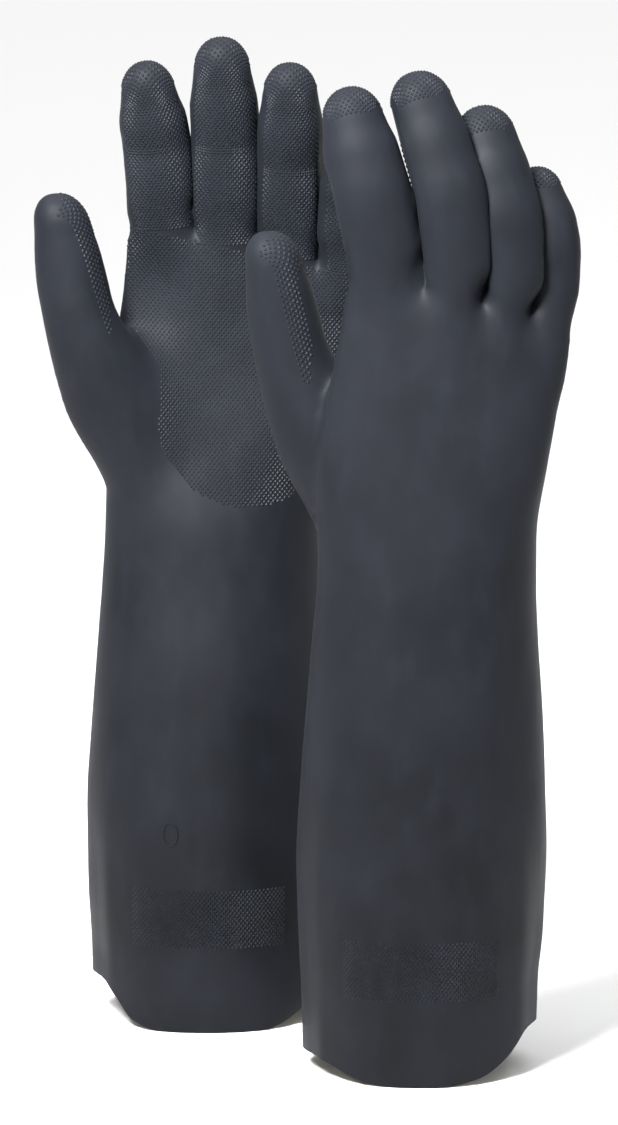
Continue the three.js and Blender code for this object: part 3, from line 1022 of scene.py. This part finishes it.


# ---------------------------------------------------------------- joining the hand pieces to the frame

def blend_span(place, digits, part):
    """The two bodies that a piece crosses, and where its bend starts and ends, in metres."""
    hand = place.hand
    if part == "gauntlet":
        wrist = place.hinge("wrist_bend")
        start, end = wrist.copy(), wrist.copy()
        start[2] -= WRIST_BLEND[0]
        end[2] += WRIST_BLEND[1]
        start[1] = end[1] = 0.0
        return f"{hand}_gauntlet", f"{hand}_hand", place.to_row(start), place.to_row(end)
    name, level = part.rsplit("_", 1)
    digit = digits[name]
    thumb = name == "thumb"
    along = digit.lower if thumb else digit.rise
    if level == "base":
        point = digit.root if thumb else digit.foot
        first = (THUMB_WEB - digit.root[2]) / digit.lower[2] if thumb else FINGER_BEND_START
        reach = (first, digit.lower_length * (THUMB_BEND_END if thumb else FINGER_BEND_END))
        bodies = (f"{hand}_hand", f"{hand}_{name}_base")
    else:
        point = digit.middle if thumb else digit.bend
        below = THUMB_TIP_BEND_START if thumb else FINGER_TIP_BEND_START
        reach = (-digit.lower_length * below, digit.lower_length * TIP_BEND_END)
        bodies = (f"{hand}_{name}_base", f"{hand}_{name}_tip")
    return *bodies, place.to_row(point + along * reach[0]), place.to_row(point + along * reach[1])


def attach(piece, place, digits, part):
    """Makes a hand piece ride on its body; any other piece has its place baked into its points and stays
    where it is, though the bodies and the span that it crosses are worked out.
    """
    if part == "hand":
        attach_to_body(piece, f"{place.hand}_hand")
        return
    body_a, body_b, start, end = blend_span(place, digits, part)
    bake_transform(piece)


# ---------------------------------------------------------------- one glove

def make_glove(hand):
    place = Place(hand)
    digits = {}
    for name, (width, _) in FINGERS.items():
        digit = digits[name] = Digit(place, name, np.array([0, 1.0, 0]))
        digit.width = width
        rise = digit.top - digit.middle[2]
        digit.length = digit.lower_length + rise / math.cos(math.radians(CURL_AT_REST + 4))
    thumb = digits["thumb"] = Digit(place, "thumb", np.array([0.2, 1.0, 0]))
    thumb.length = thumb.lower_length + thumb.top - thumb.middle[2]
    set_pose(digits, hand)

    points, edges, faces = joined_skin(digits)
    points = relaxed(points, edges, 10)
    web = bell(points[:, 2], 312 - KNUCKLE_FALL * (points[:, 0] - KNUCKLE_MIDDLE), 20)
    heel = bell(points[:, 0], -26, 26) * bell(points[:, 2], 252, 36)
    points = relaxed(points, edges, 110, np.clip(web + heel, 0, 1))
    crease = bell(points[:, 0], -14, 17) * bell(points[:, 2], 262, 36) * smooth(points[:, 1], -10, 0)
    ends = np.zeros(len(points))
    for name in FINGERS:
        digit = digits[name]
        end = digit.length - END_REACH_SHARE * digit.width * END_SHARE
        r = points - digit.root
        s = r @ lean(FINGERS[name][1], 0)
        near = np.linalg.norm(r - np.outer(s, lean(FINGERS[name][1], 0)), axis=1) < 18
        ends += near * bell(s, end, 9)
    points = filled(points, edges, 12, ends.clip(0, 1))
    points = filled(points, edges, 220, crease)
    points, faces = trimmed(points, faces, 0.0)
    rest = points.copy()
    owner = finger_of_each(rest, digits)
    points = pressed(posed(rest, digits, owner, hand), rest, digits, owner, hand)
    edges = edges_of(faces)
    level = rest[:, 2] + KNUCKLE_FALL * (rest[:, 0] - KNUCKLE_MIDDLE)
    normals = normals_of(points, faces)
    roots = bell(level, 314, 12) * smooth(np.abs(normals[:, 1]), 0.3, 0.8) * smooth(rest[:, 0], -38, -28)
    edge = bell(level, 312, 16) * smooth(rest[:, 0], 50, 62)
    points = filled(points, edges, 70, np.clip(roots + edge, 0, 1))
    normals = normals_of(points, faces)
    points = points + normals * (hand_marks(rest, normals, digits, owner, hand)
                                 + sleeve_marks(rest))[:, None]
    points = hem_wave(points, rest, hand)
    points[rest[:, 2] > 2] = relaxed(points, edges, 2)[rest[:, 2] > 2]
    normals = normals_of(points, faces)
    skin = (points, normals, rest)

    owner_names = piece_of_each(rest, owner, digits)
    face_part = [owner_names[f[0]] for f in faces]
    tree = BVHTree.FromPolygons([Vector(p) for p in points], faces)
    parts = ["gauntlet", "hand", *(f"{n}_{half}" for n in digits for half in ("base", "tip"))]
    for part in parts:
        mine = [f for f, label in zip(faces, face_part) if label == part]
        shell = wall_piece(
            f"{hand}_{part}_rubber", place, skin, mine, (0.0, RUBBER_WALL), RUBBER
        )
        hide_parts(f"{hand}_{part}_shell")
        attach(shell, place, digits, part)
        inner = RUBBER_WALL + LINING_GAP
        lining = wall_piece(
            f"{hand}_{part}_flock", place, skin, mine, (inner, inner + LINING_WALL), FLOCK
        )
        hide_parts(f"{hand}_{part}_lining")
        attach(lining, place, digits, part)
    add_grip(place, digits, rest, faces, face_part, tree)
    raised_ring(f"{hand}_oval_bead", place, tree)


def add_grip(place, digits, rest, faces, face_part, tree):
    """The embossed grip: palm, palm side of every finger and over its end, thumb, and cuff bands."""
    hits = shoot(flat_rays(palm_field(), (-36, 206), (64, 330)), tree, 140.0, -1.0)
    for facing in (1.0, -1.0):
        hits += shoot(band_rays(*CUFF_BAND, CUFF_BAND_HALF, facing), tree, 70.0)
    half = FINGER_GRIP_HALF_ANGLE
    for name in FINGERS:
        digit = digits[name]
        radius = digit.width / 2 * 0.9
        own = {f"{name}_base", f"{name}_tip", "hand"}
        front = unit(digit.front - digit.rise * (digit.front @ digit.rise))
        upper_front = unit(digit.front - digit.reach * (digit.front @ digit.reach))
        lower_rays = strip_rays(
            digit.foot, digit.rise, front, digit.lower_length, radius, 0, half, STRIP_LEAD
        )
        run = digit.run - END_REACH_SHARE * digit.width * END_SHARE
        upper_rays = strip_rays(
            digit.bend, digit.reach, upper_front, run, radius, FINGER_GRIP_WRAP, half
        )
        found = shoot(lower_rays + upper_rays, tree, 30.0)
        hits += [h for h in found if face_part[h[3]] in own]
    thumb = digits["thumb"]
    facing = np.array([0.975, -0.22, 0.0])
    facing = unit(facing - thumb.lower * (facing @ thumb.lower))
    run = thumb.length - 15.0
    thumb_rays = strip_rays(
        thumb.root, thumb.lower, facing, run,
        THUMB_GRIP_RADIUS, THUMB_GRIP_WRAP, THUMB_GRIP_HALF_ANGLE, STRIP_LEAD,
    )
    hits += shoot(thumb_rays, tree, 20.0)
    by_part = {}
    for hit in hits:
        by_part.setdefault(face_part[hit[3]], []).append(hit)
    for part, group in by_part.items():
        rest_hits = [rest[faces[h[3]][0]] for h in group]
        studs = stud_piece(f"{place.hand}_{part}_grip", place, group, rest_hits)
        attach(studs, place, digits, part)


def raised_ring(name, place, tree):
    """A plain oval bead moulded on the palm side of the sleeve."""
    around, sides = 48, 8
    rings = []
    across, up = BEAD_PLACE
    for angle in np.linspace(0, 2 * math.pi, around, endpoint=False):
        way = np.array([BEAD_SIZE[0] * math.cos(angle), 0.0, BEAD_SIZE[1] * math.sin(angle)])
        in_front = Vector((across + way[0], 90.0, up + way[2]))
        point, normal, _, _ = tree.ray_cast(in_front, Vector((0, -1, 0)))
        out, across_bead = np.array(normal), unit(way)
        u, p = oval(BEAD_THICKNESS, BEAD_THICKNESS * 0.8, 2.0, sides)
        rings.append(np.array(point) + np.outer(u, across_bead) + np.outer(p, out))
    faces = []
    for r in range(around):
        for i in range(sides):
            a, b = r * sides + i, r * sides + (i + 1) % sides
            c, d = (b + sides) % (around * sides), (a + sides) % (around * sides)
            faces.append((a, b, c, d) if place.side > 0 else (d, c, b, a))
    points = np.concatenate(rings)
    bead = make_object(name, make_mesh(name, place.to_row(points), faces))
    bead.data.materials.append(RUBBER)
    bead.data.shade_smooth()
    store_place(bead.data, points * MM)
    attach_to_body(bead, f"{place.hand}_gauntlet")


make_glove("left")
make_glove("right")


# ---------------------------------------------------------------- floor, light and camera

def studio_floor():
    """A pale matt floor that runs on far behind the gloves."""
    material, tree = new_material("pale matt floor")
    shader = add_node(
        tree, "ShaderNodeBsdfPrincipled",
        {"Base Color": linear("#f4f4f4"), "Roughness": 0.9, "Specular IOR Level": 0.1},
    )
    add_node(tree, "ShaderNodeOutputMaterial", None, {"Surface": shader.outputs["BSDF"]})
    size = 12.0
    corners = [(-size, -size, 0), (size, -size, 0), (size, size, 0), (-size, size, 0)]
    floor = make_object("floor", make_mesh("floor", corners, [(0, 1, 2, 3)]))
    floor.data.materials.append(material)


def soft_light(name, place, target, size, power, colour, spread=180.0):
    lamp = bpy.data.lights.new(name, "AREA")
    lamp.shape = "RECTANGLE"
    lamp.size, lamp.size_y = size
    lamp.energy = power
    lamp.spread = math.radians(spread)
    lamp.color = linear(colour)[:3]
    light = bpy.data.objects.new(name, lamp)
    bpy.context.scene.collection.objects.link(light)
    light.location = place
    light.rotation_euler = (Vector(target) - Vector(place)).to_track_quat("-Z", "Y").to_euler()


def studio_lights():
    world = bpy.data.worlds.new("pale room")
    world.use_nodes = True
    background = world.node_tree.nodes["Background"]
    background.inputs["Color"].default_value = linear("#ffffff")
    background.inputs["Strength"].default_value = 0.32
    bpy.context.scene.world = world
    soft_light(
        "key from above the viewer", (-0.45, -0.8, 1.25), (0, 0, 0.36), (0.45, 0.45), 6.0, "#ffffff", 50.0
    )
    soft_light("fill from the right", (1.3, -1.2, 1.0), (0, 0, 0.3), (0.8, 0.8), 3.0, "#f6f8ff")
    soft_light("overhead", (0.0, 1.2, 4.5), (0, 1.2, 0), (7.0, 7.0), 272.0, "#ffffff")


def camera_in_front():
    """A long lens, a little above the gloves, that looks down the row's +Y."""
    elevation = math.radians(12.0)
    distance = 5.0
    frame_height = 0.455
    target = Vector((0.003, 0.0, 0.197))
    lens_data = bpy.data.cameras.new("camera")
    lens_data.sensor_width = 36.0
    lens_data.lens = 36.0 * distance / frame_height
    lens_data.clip_end = 60.0
    camera = bpy.data.objects.new("camera", lens_data)
    bpy.context.scene.collection.objects.link(camera)
    away = Vector((0.0, -math.cos(elevation), math.sin(elevation)))
    camera.location = target + away * distance
    camera.rotation_euler = (-away).to_track_quat("-Z", "Y").to_euler()
    bpy.context.scene.camera = camera


bpy.context.scene.view_settings.view_transform = "Standard"
studio_floor()
studio_lights()
camera_in_front()
